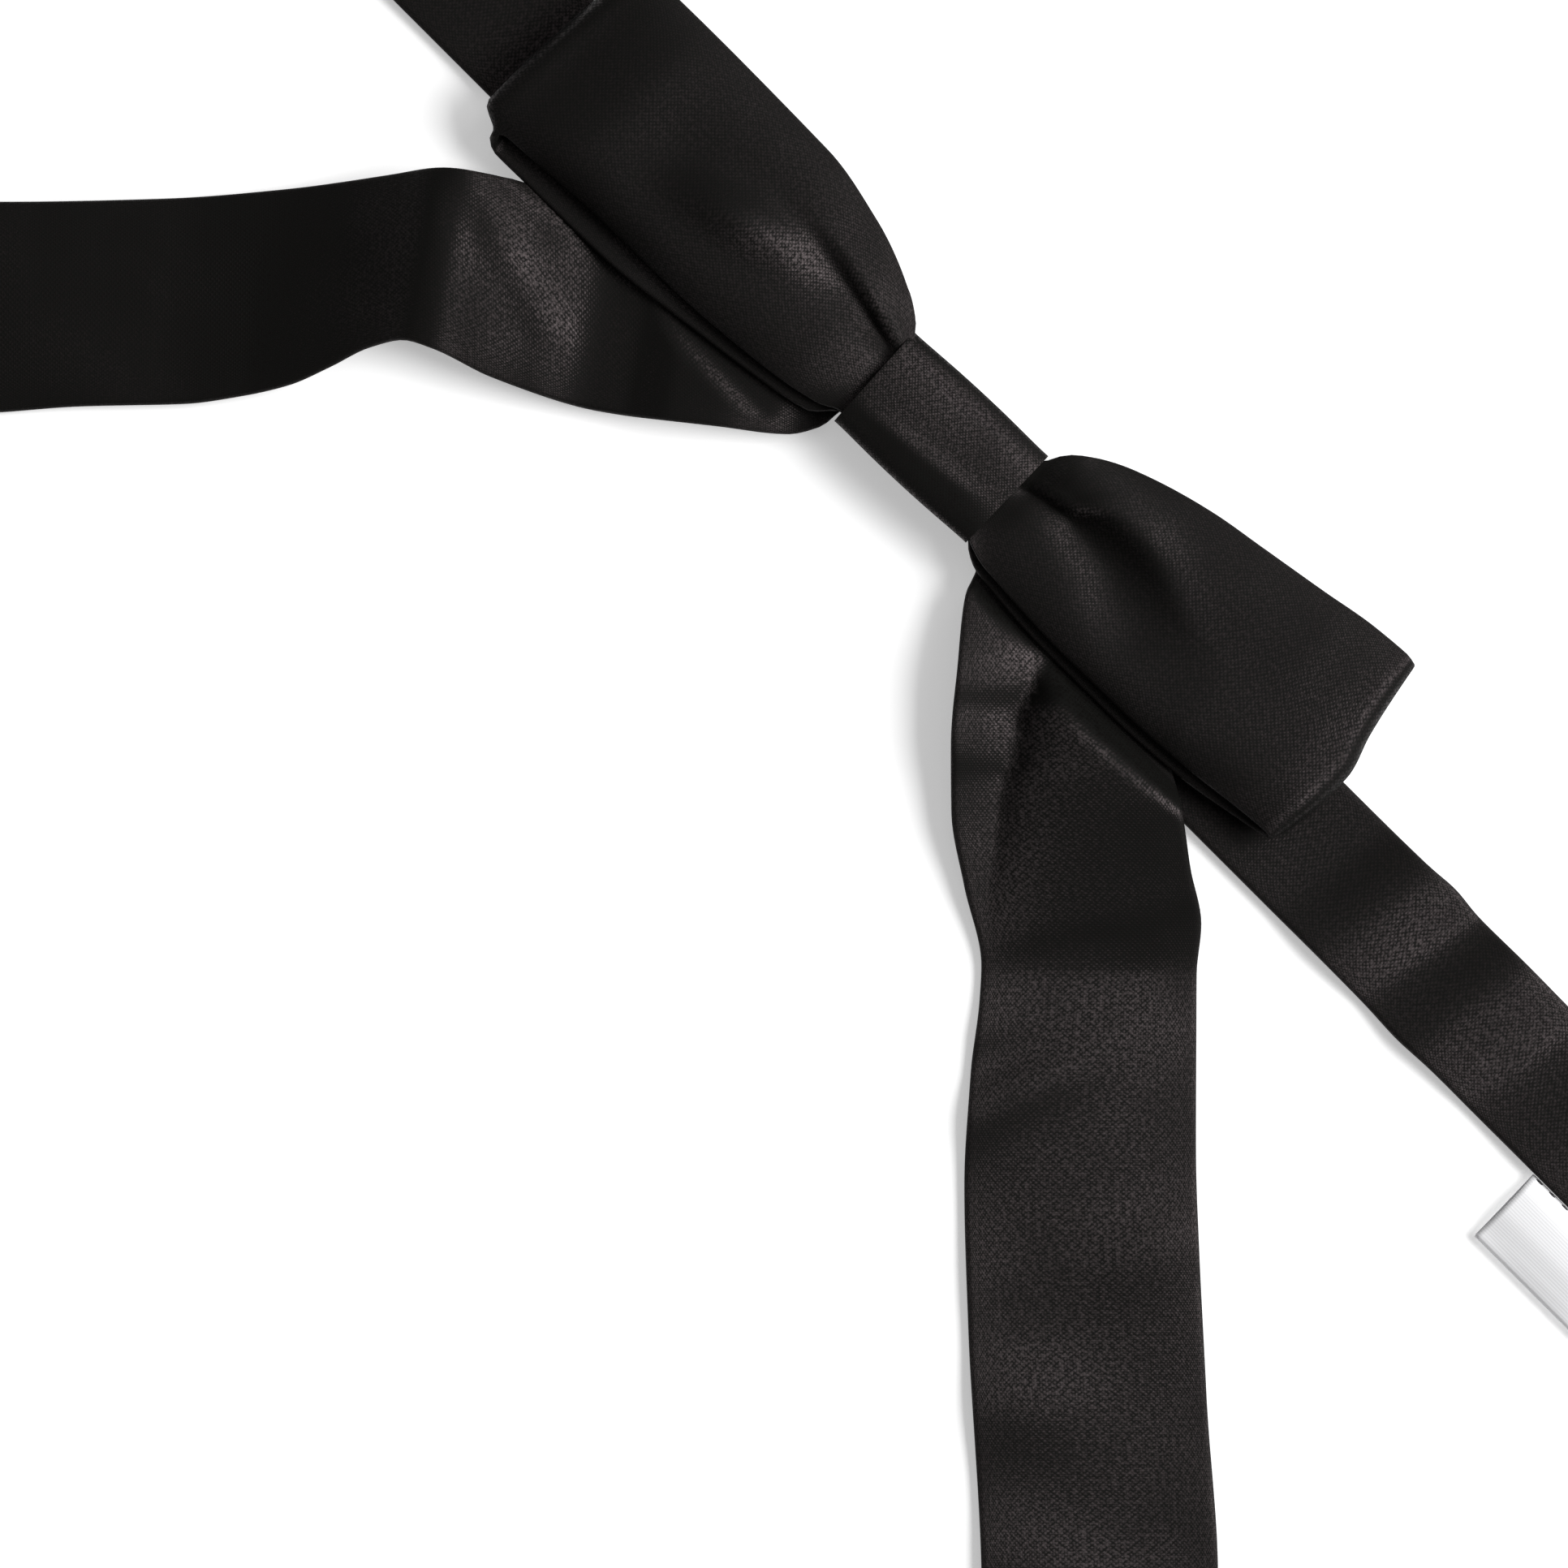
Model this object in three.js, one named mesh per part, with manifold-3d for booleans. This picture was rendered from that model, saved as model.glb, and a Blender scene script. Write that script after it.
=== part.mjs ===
// A pre-tied ribbon bow tie lying flat: a bow of interlined satin, a knot wrap, a neck band with an
// adjuster and a hook-and-eye closure, two long tails, and a sewn-in care label.
// Millimetres. +X runs along the neck band, +Y to the top of the bow as worn, and +Z away from the
// neck. The origin is the middle of the knot's back, which is also the surface it all lies on.
import * as THREE from "three";
import { mergeVertices } from "three/addons/utils/BufferGeometryUtils.js";
import Module from "manifold-3d";

const wasm = await Module();
wasm.setup();

// Cloth, thread and metal
const clearance = 0.3; // gap kept between pieces that touch
const satinWall = 0.3; // one ply of satin
const interlining = 0.3; // the stiffener inside the bow and the band
const tailThickness = 1.0; // two plies of satin, not stiffened
const strapThickness = 0.8; // the thinner end of the band, at the closure
const threadThickness = 0.5;
const metalThickness = 1.0;
const labelPly = 0.3;

// Knot wrap
const knotLength = 22.4; // along the band
const knotWidth = 15.0; // from the bow's lower edge to its top
const knotWall = 0.8; // a folded strip of satin
const knotTilt = THREE.MathUtils.degToRad(2.2);
const seamOffset = 4.2; // the seam down the knot's back, above its middle
const seamWidth = 1.5;

// Bow
const wingRight = 64.2; // from the middle of the knot to the fold at the end of the wing
const wingLeft = 68.0;
const wingRise = 11.0; // height of the front layer where the loop is fullest
const wingEndRise = 9.8; // and just before the end fold
const endFoldHeight = 4.6; // between the two layers at the end fold
const pinchWidth = 11.6; // every strip is gathered to this inside the knot

// Neck band
const bandWidth = 17.5;
const bandLeftY = -0.85; // the band's middle line on each side of the knot
const bandRightY = -3.7;
const foldReach = 30.0; // from the knot's middle to where the band folds back round the neck
const bandLeftEnd = 158.0; // the bar of the eye
const bandRightEnd = 146.0; // where the stiffened band ends and the adjuster strap starts
const noseClearance = 0.45; // air in front of the rounded end at each fold

// Tails
const tailLength = 240.0; // from the knot's middle, along the tail's own direction
const tailSplay = THREE.MathUtils.degToRad(45);
const tailDropStart = 50.0; // the tail steps down off the band between these two distances
const tailDropEnd = 68.0;
const tailRootRadius = 6.4; // the gathered root is round about the point where it turns
const tailRootGap = 0.2; // between the root and the knot
const tailRootY = -1.5;
const hemInset = 8.0; // the line of stitching across the tail's end

// Care label
const labelStart = 115.7; // along the band
const labelWidth = 20.0;
const labelReach = 11.0; // how far it stands out below the band
const labelGap = 0.8; // between the two plies of the folded label

// Adjuster, hook and eye
const sliderX = 212.0;
const hookX = 262.0;
const sliderHalfLength = 7.3;
const sliderBar = 1.6;
const railThickness = 1.3;
const railClearance = 0.4; // between the strap's edges and the metal at each side
const strapLoopRadius = 1.4; // middle of the strap where it turns round a bar
const loopTail = 9.0; // how far the sewn end runs back along the strap
const plateDepth = 3.5; // solid metal in front of the strap slot
const eyeSlot = new THREE.Vector2(5.2, 12.0);
const hookTongueWidth = 8.0;
const hookTongueLength = 8.0;
const hookGap = 2.0; // between the two limbs of the hook
const tackLength = 2.0;
const tackWidth = 11.0;

// Worked out from these: the stack of layers inside the knot, from the back to the front
const stripThickness = 2 * satinWall + 2 * clearance + interlining;
const bandInKnot = knotWall + clearance + stripThickness / 2;
const tailInKnot = bandInKnot + (stripThickness + tailThickness) / 2 + clearance;
const bowBack = tailInKnot + (tailThickness + stripThickness) / 2 + clearance;
const bowFront = bowBack + stripThickness + clearance;
const knotHeight = bowFront + stripThickness / 2 + clearance + knotWall;
const bandRest = stripThickness / 2; // the middle of the band where it lies on the surface
const knotEnd = knotLength / 2;
const tailPivot = new THREE.Vector2(knotEnd + tailRootGap + tailRootRadius, tailRootY);

const satin = { color: 0x18161a, roughness: 0.42, metalness: 0 };
const canvas = { color: 0xd8d2c4, roughness: 0.9, metalness: 0 };
const thread = { color: 0x121113, roughness: 0.6, metalness: 0 };
const labelTape = { color: 0xf2f2f0, roughness: 0.55, metalness: 0 };
const nickel = { color: 0xb9b8b4, roughness: 0.28, metalness: 1 };

// Shapes

function solidOf(geometry) {
  geometry.deleteAttribute("normal");
  geometry.deleteAttribute("uv");
  const merged = mergeVertices(geometry, 1e-4);
  return new wasm.Manifold(
    new wasm.Mesh({
      numProp: 3,
      vertProperties: merged.attributes.position.array,
      triVerts: new Uint32Array(merged.index.array),
    }),
  );
}

function meshOf(name, solid, finish) {
  const made = solid.getMesh();
  const geometry = new THREE.BufferGeometry();
  geometry.setAttribute("position", new THREE.BufferAttribute(made.vertProperties, 3));
  geometry.setIndex(new THREE.BufferAttribute(made.triVerts, 1));
  const mesh = new THREE.Mesh(geometry, new THREE.MeshStandardMaterial(finish));
  mesh.name = name;
  return mesh;
}

// A flat outline seen from above, from one height up to another.
function slab(points, low, high) {
  const geometry = new THREE.ExtrudeGeometry(new THREE.Shape(points), {
    depth: high - low,
    bevelEnabled: false,
  });
  return solidOf(geometry.translate(0, 0, low));
}

// An outline seen from the side (x, z), running from one y to another.
function curtain(points, low, high) {
  const geometry = new THREE.ExtrudeGeometry(new THREE.Shape(points), {
    depth: high - low,
    bevelEnabled: false,
  });
  return solidOf(geometry.rotateX(Math.PI / 2).translate(0, high, 0));
}

function block(lowX, lowY, lowZ, highX, highY, highZ) {
  const size = new THREE.Vector3(highX - lowX, highY - lowY, highZ - lowZ);
  const geometry = new THREE.BoxGeometry(size.x, size.y, size.z);
  return solidOf(geometry.translate(lowX + size.x / 2, lowY + size.y / 2, lowZ + size.z / 2));
}

function smoothLine(points, steps) {
  const places = points.map(([x, y]) => new THREE.Vector3(x, y, 0));
  const curve = new THREE.CatmullRomCurve3(places, false, "centripetal");
  return curve.getSpacedPoints(steps).map((p) => new THREE.Vector2(p.x, p.y));
}

// The side view of a strip of cloth: a line given a thickness, with square ends.
function stripProfile(line, halfThickness) {
  const above = [];
  const below = [];
  line.forEach((point, i) => {
    const before = line[Math.max(i - 1, 0)];
    const after = line[Math.min(i + 1, line.length - 1)];
    const along = after.clone().sub(before).normalize();
    const across = new THREE.Vector2(-along.y, along.x).multiplyScalar(halfThickness);
    above.push(point.clone().add(across));
    below.push(point.clone().sub(across));
  });
  return [...below, ...above.reverse()];
}

function arc(centreX, centreY, radius, fromDegrees, toDegrees, steps) {
  return Array.from({ length: steps + 1 }, (_, i) => {
    const angle = THREE.MathUtils.degToRad(fromDegrees + ((toDegrees - fromDegrees) * i) / steps);
    return [centreX + radius * Math.cos(angle), centreY + radius * Math.sin(angle)];
  });
}

const asVectors = (points) => points.map(([x, y]) => new THREE.Vector2(x, y));

// Stations are [distance along the strip, lower edge, upper edge].
function planOf(stations, inset, stepsPerSide, low, high) {
  const lower = smoothLine(stations.map(([x, a]) => [x, a + inset]), stepsPerSide);
  const upper = smoothLine(stations.map(([x, , b]) => [x, b - inset]), stepsPerSide);
  return slab([...lower, ...upper.reverse()], low, high);
}

const stackTop = wingRise + stripThickness;
const blankHalfWidth = 28.0; // strips are cut from a blank wider than any of them

function clothStrip(line, halfThickness, stations, inset, stepsPerSide) {
  const side = curtain(stripProfile(line, halfThickness), -blankHalfWidth, blankHalfWidth);
  return side.intersect(planOf(stations, inset, stepsPerSide, -1, stackTop));
}

// A satin casing round its interlining: the casing is hollow and open at its ends.
function casedStrip(line, stations, stepsPerSide) {
  const cavityHalf = interlining / 2 + clearance;
  const cavity = clothStrip(lengthened(line, clearance), cavityHalf, stations, satinWall, stepsPerSide);
  const liningLine = lengthened(line, -2 * clearance);
  return {
    casing: clothStrip(line, stripThickness / 2, stations, 0, stepsPerSide).subtract(cavity),
    lining: clothStrip(liningLine, interlining / 2, stations, satinWall + clearance, stepsPerSide),
  };
}

// The same line with both its ends moved out, or in where the length is negative.
function lengthened(line, length) {
  const moved = line.map((point) => point.clone());
  const push = (end, next) => end.add(end.clone().sub(next).normalize().multiplyScalar(length));
  push(moved[0], moved[1]);
  push(moved.at(-1), moved.at(-2));
  return moved;
}

// Tacks: stitches that go through every layer inside the knot

const tackRadius = 0.5;
const tackPlaces = { left: -6, right: 6 };
const tackLow = knotWall + clearance;
const tackHigh = knotHeight - knotWall - clearance;

function tackRod(x, radius, low, high) {
  const geometry = new THREE.CylinderGeometry(radius, radius, high - low, 8);
  return solidOf(geometry.rotateX(Math.PI / 2).translate(x, 0, (high + low) / 2));
}

function withTackHoles(solid) {
  const bore = tackRadius + clearance;
  return Object.values(tackPlaces).reduce(
    (left, x) => left.subtract(tackRod(x, bore, -1, stackTop)),
    solid,
  );
}

// Knot

function knotWrap() {
  const halfWidth = knotWidth / 2;
  const outer = block(-knotEnd, -halfWidth, 0, knotEnd, halfWidth, knotHeight);
  const inner = block(
    -knotLength, -halfWidth + knotWall, knotWall,
    knotLength, halfWidth - knotWall, knotHeight - knotWall,
  );
  const seamLow = seamOffset - seamWidth / 2;
  const seam = block(-knotLength, seamLow, -1, knotLength, seamLow + seamWidth, knotWall + clearance / 2);
  const mesh = meshOf("knot_wrap", outer.subtract(inner).subtract(seam), satin);
  mesh.rotation.z = knotTilt;
  return mesh;
}

// A ladder of small stitches lying in the seam down the knot's back.
function knotSeamThread() {
  const length = knotEnd - 1;
  const halfGap = seamWidth / 2 - clearance;
  const low = (knotWall - threadThickness) / 2;
  const high = low + threadThickness;
  const spine = threadThickness / 2;
  let solid = block(-length, seamOffset - spine, low, length, seamOffset + spine, high);
  for (let x = -length + 1; x < length; x += 3) {
    solid = solid.add(
      block(x - spine, seamOffset - halfGap, low, x + spine, seamOffset + halfGap, high),
    );
  }
  const mesh = meshOf("knot_seam_thread", solid, thread);
  mesh.rotation.z = knotTilt;
  return mesh;
}

// Bow: one strip folded into a flat ring, both ends butted at the middle of the back

const pinch = pinchWidth / 2;
const bowStations = [
  [-wingLeft - 2, -13.0, 14.9],
  [-wingLeft + 8, -13.8, 15.2],
  [-wingLeft + 17, -13.7, 15.2],
  [-34.9, -12.6, 15.2],
  [-24.7, -11.2, 13.4],
  [-18.3, -10.2, 11.3],
  [-knotEnd - 4, -9.0, 9.0],
  [-knotEnd - 1.5, -pinch, pinch],
  [0, -pinch, pinch],
  [knotEnd + 1.5, -pinch, pinch],
  [knotEnd + 4, -8.2, 10.6],
  [20.0, -8.9, 14.1],
  [30.8, -9.2, 17.3],
  [wingRight - 18, -8.8, 19.9],
  [wingRight - 8, -7.6, 21.4],
  [wingRight + 2, -6.0, 21.9],
];

function bowLine() {
  const buttGap = 0.45;
  const radius = endFoldHeight / 2;
  const foldMiddle = wingEndRise - radius;
  const wing = (side, reach) => {
    const centre = reach - radius - stripThickness / 2;
    return [
      [side * 40, bowBack],
      [side * (reach - 10), foldMiddle - radius + 0.1],
      ...arc(centre, foldMiddle, radius, -90, 90, 6).map(([x, z]) => [side * x, z]),
      [side * (reach - 12), wingEndRise + 0.6],
      [side * 36, wingRise],
      [side * 20, wingRise - 2.6],
      [side * (knotEnd + 2.5), bowFront + 0.2],
      [side * (knotEnd + 0.5), bowFront],
    ];
  };
  return smoothLine(
    [[-buttGap, bowBack], [-12, bowBack], ...wing(-1, wingLeft), [0, bowFront],
      ...wing(1, wingRight).reverse(), [12, bowBack], [buttGap, bowBack]],
    64,
  );
}

function bow() {
  const parts = casedStrip(bowLine(), bowStations, 24);
  return [
    meshOf("bow_ribbon", withTackHoles(parts.casing), satin),
    meshOf("bow_interlining", withTackHoles(parts.lining), canvas),
  ];
}

function centreTack(side) {
  const rod = tackRod(tackPlaces[side], tackRadius, tackLow, tackHigh);
  return meshOf("centre_tack_" + side, rod, thread);
}

// Neck band: the piece through the knot, and the two long ends that fold back round the neck

function bandCentre() {
  const end = foldReach - stripThickness / 2 - noseClearance;
  const line = smoothLine(
    [[-end, bandRest], [-22, bandRest], [-20, bandRest], [-knotEnd - 1, bandInKnot - 0.1],
      [-knotEnd + 1, bandInKnot], [knotEnd - 1, bandInKnot], [knotEnd + 1, bandInKnot - 0.1],
      [20, bandRest], [22, bandRest], [end, bandRest]],
    32,
  );
  const half = bandWidth / 2;
  const stations = [
    [-end - 2, bandLeftY - half, bandLeftY + half],
    [-21, bandLeftY - half, bandLeftY + half],
    [-knotEnd - 1.5, -pinch, pinch],
    [0, -pinch, pinch],
    [knotEnd + 1.5, -pinch, pinch],
    [21, bandRightY - half, bandRightY + half],
    [end + 2, bandRightY - half, bandRightY + half],
  ];
  const parts = casedStrip(line, stations, 16);
  return [
    meshOf("band_centre", withTackHoles(parts.casing), satin),
    meshOf("band_centre_interlining", withTackHoles(parts.lining), canvas),
  ];
}

// The straight stiffened run from the fold outwards, with a rounded end at the fold.
function bandRun(side, middleY, reach) {
  const half = stripThickness / 2;
  const nose = arc(foldReach, bandRest, half, 90, 270, 8);
  const profile = asVectors([...nose, [reach, 0], [reach, stripThickness]]);
  const lowY = middleY - bandWidth / 2;
  const highY = middleY + bandWidth / 2;
  const wall = satinWall;
  const slack = satinWall + clearance;
  const hollow = block(
    foldReach - 2, lowY + wall, wall,
    reach - wall, highY - wall, stripThickness - wall,
  );
  const casing = curtain(profile, lowY, highY).subtract(hollow);
  const lining = block(
    foldReach + 1, lowY + slack, bandRest - interlining / 2,
    reach - slack, highY - slack, bandRest + interlining / 2,
  );
  return { casing: facing(casing, side), hollow: facing(hollow, side), lining: facing(lining, side) };
}

// A solid made for the right side, turned to face the left one by a mirror in X.
function facing(solid, side) {
  return side < 0 ? solid.mirror([1, 0, 0]) : solid;
}

// A strap that comes in low, turns round a bar and lies back on itself.
function strapLoop(barX, barZ, lowStart, highEnd) {
  return [
    lowStart,
    [(lowStart[0] + 2 * barX) / 3, barZ - strapLoopRadius],
    ...arc(barX, barZ, strapLoopRadius, -90, 90, 8),
    [(highEnd[0] + 2 * barX) / 3, (2 * barZ + 2 * strapLoopRadius + highEnd[1]) / 3],
    [(2 * highEnd[0] + barX) / 3, highEnd[1]],
    highEnd,
  ];
}

const eyeBarZ = strapThickness / 2 + strapLoopRadius;

function bandLeft() {
  const reach = bandLeftEnd - 8;
  const run = bandRun(-1, bandLeftY, reach);
  const sewnDown = [reach - 4, stripThickness + clearance + strapThickness / 2];
  const loop = strapLoop(bandLeftEnd, eyeBarZ, [reach - 1, strapThickness / 2], sewnDown);
  const profile = stripProfile(smoothLine(loop, 28), strapThickness / 2);
  const lowY = bandLeftY - bandWidth / 2;
  const turned = facing(curtain(profile, lowY, lowY + bandWidth), -1);
  const tackZ = sewnDown[1] + strapThickness / 2 + clearance;
  const tack = block(
    sewnDown[0] + 1, bandLeftY - tackWidth / 2, tackZ,
    sewnDown[0] + 1 + tackLength, bandLeftY + tackWidth / 2, tackZ + threadThickness,
  );
  return [
    meshOf("band_left", run.casing.add(turned).subtract(run.hollow), satin),
    meshOf("band_left_interlining", run.lining, canvas),
    meshOf("eye_tack", facing(tack, -1), thread),
  ];
}

// The plate that the strap is looped through: a slot for the strap, then solid metal.
function strapPlate(barX, barZ, middleY, depth) {
  const halfSlot = bandWidth / 2 + railClearance;
  const halfPlate = halfSlot + railThickness;
  const halfBar = metalThickness / 2;
  const slotEnd = barX + strapLoopRadius + strapThickness / 2 + clearance + halfBar;
  const plate = block(
    barX - halfBar, middleY - halfPlate, barZ - halfBar,
    slotEnd + depth, middleY + halfPlate, barZ + halfBar,
  );
  const slot = block(barX + halfBar, middleY - halfSlot, barZ - 1, slotEnd, middleY + halfSlot, barZ + 1);
  return { solid: plate.subtract(slot), front: slotEnd + depth, slotEnd };
}

function eyePlate() {
  const border = 1.6;
  const depth = eyeSlot.x + 2 * border;
  const { solid, slotEnd } = strapPlate(bandLeftEnd, eyeBarZ, bandLeftY, depth);
  const half = eyeSlot.y / 2;
  const slot = block(
    slotEnd + border, bandLeftY - half, eyeBarZ - 1,
    slotEnd + border + eyeSlot.x, bandLeftY + half, eyeBarZ + 1,
  );
  return meshOf("eye_plate", facing(solid.subtract(slot), -1), nickel);
}

function bandRight() {
  const run = bandRun(1, bandRightY, bandRightEnd);
  return [
    meshOf("band_right", run.casing, satin),
    meshOf("band_right_interlining", run.lining, canvas),
  ];
}

// Adjuster. The strap runs out over the slider's two end bars and under its middle bar, round the
// hook's bar, and back to the middle bar, where its end is looped and sewn.

const halfMetal = metalThickness / 2;
const runZ = metalThickness + clearance + strapThickness / 2;
const returnZ = runZ + strapThickness + clearance;
const sliderBarZ = returnZ + strapLoopRadius;
const hookBarZ = (runZ + returnZ) / 2;
const foldStart = hookX - 8;
const strapLow = bandRightY - bandWidth / 2;

function strapPiece(name, points, steps) {
  const profile = stripProfile(smoothLine(points, steps), strapThickness / 2);
  return meshOf(name, curtain(profile, strapLow, strapLow + bandWidth), satin);
}

function adjusterRun() {
  const start = bandRightEnd + clearance;
  const end = foldStart - clearance;
  const points = [[start, bandRest], [start + 5, runZ - 0.2], [start + 10, runZ], [end, runZ]];
  return strapPiece("adjuster_run", points, 14);
}

function strapFold() {
  return strapPiece("strap_fold", strapLoop(hookX, hookBarZ, [foldStart, runZ], [foldStart, returnZ]), 28);
}

function returnRun() {
  const points = [[sliderX + loopTail + clearance, returnZ], [foldStart - clearance, returnZ]];
  return strapPiece("return_run", points, 2);
}

function sliderLoop() {
  const sewnDown = [-sliderX - loopTail, returnZ + strapThickness + clearance];
  const points = strapLoop(-sliderX, sliderBarZ, [-sliderX - loopTail, returnZ], sewnDown);
  return strapPiece("slider_loop", points.map(([x, z]) => [-x, z]).reverse(), 28);
}

function sliderTack() {
  const z = returnZ + 1.5 * strapThickness + 2 * clearance;
  const x = sliderX + loopTail - 1 - tackLength;
  const half = tackWidth / 2;
  const bar = block(x, bandRightY - half, z, x + tackLength, bandRightY + half, z + threadThickness);
  return meshOf("slider_tack", bar, thread);
}

function sliderFrame() {
  const inner = bandWidth / 2 + railClearance;
  const outer = inner + railThickness;
  const near = sliderX - sliderHalfLength;
  const far = sliderX + sliderHalfLength;
  const top = sliderBarZ + halfMetal;
  const side = asVectors([
    [near, 0], [far, 0], [far, metalThickness], [sliderX + sliderBar, top], [sliderX - sliderBar, top],
    [near, metalThickness],
  ]);
  const solid = curtain(side, bandRightY - outer, bandRightY - inner)
    .add(curtain(side, bandRightY + inner, bandRightY + outer))
    .add(block(near, bandRightY - outer, 0, near + sliderBar, bandRightY + outer, metalThickness))
    .add(block(far - sliderBar, bandRightY - outer, 0, far, bandRightY + outer, metalThickness))
    .add(block(sliderX - halfMetal, bandRightY - outer, top - metalThickness,
      sliderX + halfMetal, bandRightY + outer, top));
  return meshOf("slider_frame", solid, nickel);
}

function hookPlate() {
  const { solid, front } = strapPlate(hookX, hookBarZ, bandRightY, plateDepth);
  const turn = (hookGap + metalThickness) / 2;
  const tip = front + hookTongueLength;
  const line = [
    [front - 1, hookBarZ],
    [tip - 3, hookBarZ],
    ...arc(tip, hookBarZ + turn, turn, -90, 90, 8),
    [tip - 3, hookBarZ + 2 * turn],
    [tip - 7, hookBarZ + 2 * turn],
  ];
  const profile = stripProfile(smoothLine(line, 26), halfMetal);
  const half = hookTongueWidth / 2;
  const tongue = curtain(profile, bandRightY - half, bandRightY + half);
  return meshOf("hook_plate", solid.add(tongue), nickel);
}

// Care label: a loop of tape, folded at its outer edge, with both ends caught in the band's seam

const bandLowEdge = bandRightY - bandWidth / 2;
const labelRoot = bandLowEdge - 4 * clearance; // the line that it turns about

function careLabel() {
  const outerEdge = bandLowEdge - labelReach;
  const half = labelGap / 2 + labelPly;
  const middle = half;
  const shape = (radius, end) => {
    const turned = arc(outerEdge + half, middle, radius, 90, 270, 8);
    return asVectors([[end, middle + radius], ...turned, [end, middle - radius]]);
  };
  const outer = crosswise(shape(half, labelRoot), labelStart, labelStart + labelWidth);
  const inner = crosswise(shape(labelGap / 2, labelRoot - 1.2), labelStart - 1, labelStart + labelWidth + 1);
  return meshOf("care_label", outer.subtract(inner), labelTape);
}

// An outline seen along the band (y, z), running from one x to another.
function crosswise(points, low, high) {
  const geometry = new THREE.ExtrudeGeometry(new THREE.Shape(points), {
    depth: high - low,
    bevelEnabled: false,
  });
  const turned = geometry.rotateX(Math.PI / 2).rotateZ(Math.PI / 2);
  return solidOf(turned.translate(low, 0, 0));
}

// The stitches that hold the label, along the band's lower edge.
function labelStitches() {
  const low = bandLowEdge - clearance / 2 - threadThickness / 2;
  const spine = block(labelStart, low, bandRest - 0.1, labelStart + labelWidth, low + 0.2, bandRest + 0.1);
  return meshOf("label_stitches", spine, thread);
}

// Tails: each is widest where it lies flat and is gathered to a rounded root beside the knot.
// Both are given in the tail's own frame, with distance from the knot first.

const farEdge = (edge) => [[150, edge], [tailLength, edge]];

const tailShapes = {
  right: {
    turn: -tailSplay,
    inner: [[47, 29.3], [53, 30.3], [60, 31.8], [66, 31.3], [86, 31.2], [118, 32.5], ...farEdge(33.6)],
    outer: [[20, 3.0], [28, 2.1], [38, 1.3], [46, 1.4], [55, 3.0], [65, 5.2], [78, 3.9], [92, 3.1],
      [110, 3.6], ...farEdge(5.6)],
    drop: [tailDropStart, tailDropEnd],
  },
  left: {
    turn: tailSplay + Math.PI,
    inner: [[50, 30.5], [56, 31.7], [61, 32.3], [68, 31.6], [80, 30.3], [96, 29.2], ...farEdge(29.4)],
    outer: [[19, 0.6], [27, 1.3], [42, 3.3], [55, 7.3], [64, 11.0], [68, 11.4], [78, 7.3], [86, 5.2],
      [100, 4.0], ...farEdge(1.4)],
    drop: [tailDropStart + 12, tailDropEnd + 20],
  },
};

// The pivot's place in a tail's frame, with the tail's near edge at a positive distance across.
const rootAlong = (tailPivot.x - tailPivot.y) * Math.SQRT1_2;
const rootAcross = (tailPivot.x + tailPivot.y) * Math.SQRT1_2;

function tailPlan(shape) {
  const root = arc(rootAlong, rootAcross, tailRootRadius, 100, 250, 8);
  const inner = smoothLine([root[0], [rootAlong + 10, rootAcross + 9.5], ...shape.inner], 20);
  const outer = smoothLine([...shape.outer].reverse(), 20);
  return [...outer, ...asVectors(root.reverse()), ...inner];
}

function tail(side) {
  const shape = tailShapes[side];
  const rest = tailThickness / 2;
  const [dropStart, dropEnd] = shape.drop;
  const line = [
    [0, tailInKnot], [dropStart - 3, tailInKnot], [dropStart, tailInKnot],
    [(dropStart + dropEnd) / 2, (tailInKnot + rest) / 2],
    [dropEnd, rest], [dropEnd + 3, rest], [tailLength + 5, rest],
  ];
  const sideView = curtain(stripProfile(smoothLine(line, 48), rest), -1, 40);
  const solid = sideView.intersect(slab(tailPlan(shape), -1, stackTop));
  const mesh = meshOf("tail_" + side, facingTail(solid, side), satin);
  mesh.rotation.z = shape.turn;
  return mesh;
}

// The right tail's near edge is on its left and the left tail's is on its right.
function facingTail(solid, side) {
  return side === "left" ? solid.mirror([0, 1, 0]) : solid;
}

// One row of stitches across the hem, just above the cloth.
function hemThread(side) {
  const shape = tailShapes[side];
  const innerEdge = shape.inner.at(-1)[1];
  const outerEdge = shape.outer.at(-1)[1];
  const low = tailThickness + clearance;
  const x = tailLength - hemInset;
  const row = block(x, outerEdge + 1, low, x + threadThickness, innerEdge - 1, low + threadThickness);
  const mesh = meshOf("tail_" + side + "_hem_thread", facingTail(row, side), thread);
  mesh.rotation.z = shape.turn;
  return mesh;
}

// The middle of the tails' ribbon, gathered through the knot.
function tailMiddle() {
  const end = knotEnd - clearance;
  const rest = tailThickness / 2;
  const strip = block(-end, -pinch, tailInKnot - rest, end, pinch, tailInKnot + rest);
  return meshOf("tail_middle", withTackHoles(strip), satin);
}

const bowTie = new THREE.Group();
bowTie.add(
  knotWrap(),
  knotSeamThread(),
  ...bow(),
  centreTack("left"),
  centreTack("right"),
  ...bandCentre(),
  tailMiddle(),
  ...bandLeft(),
  eyePlate(),
  ...bandRight(),
  adjusterRun(),
  labelStitches(),
  careLabel(),
  strapFold(),
  returnRun(),
  sliderFrame(),
  sliderLoop(),
  sliderTack(),
  hookPlate(),
);
["left", "right"].forEach((side) => bowTie.add(tail(side), hemThread(side)));

export default bowTie;
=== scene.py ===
import bpy, bmesh, math
from mathutils import Vector, Matrix, noise


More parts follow.
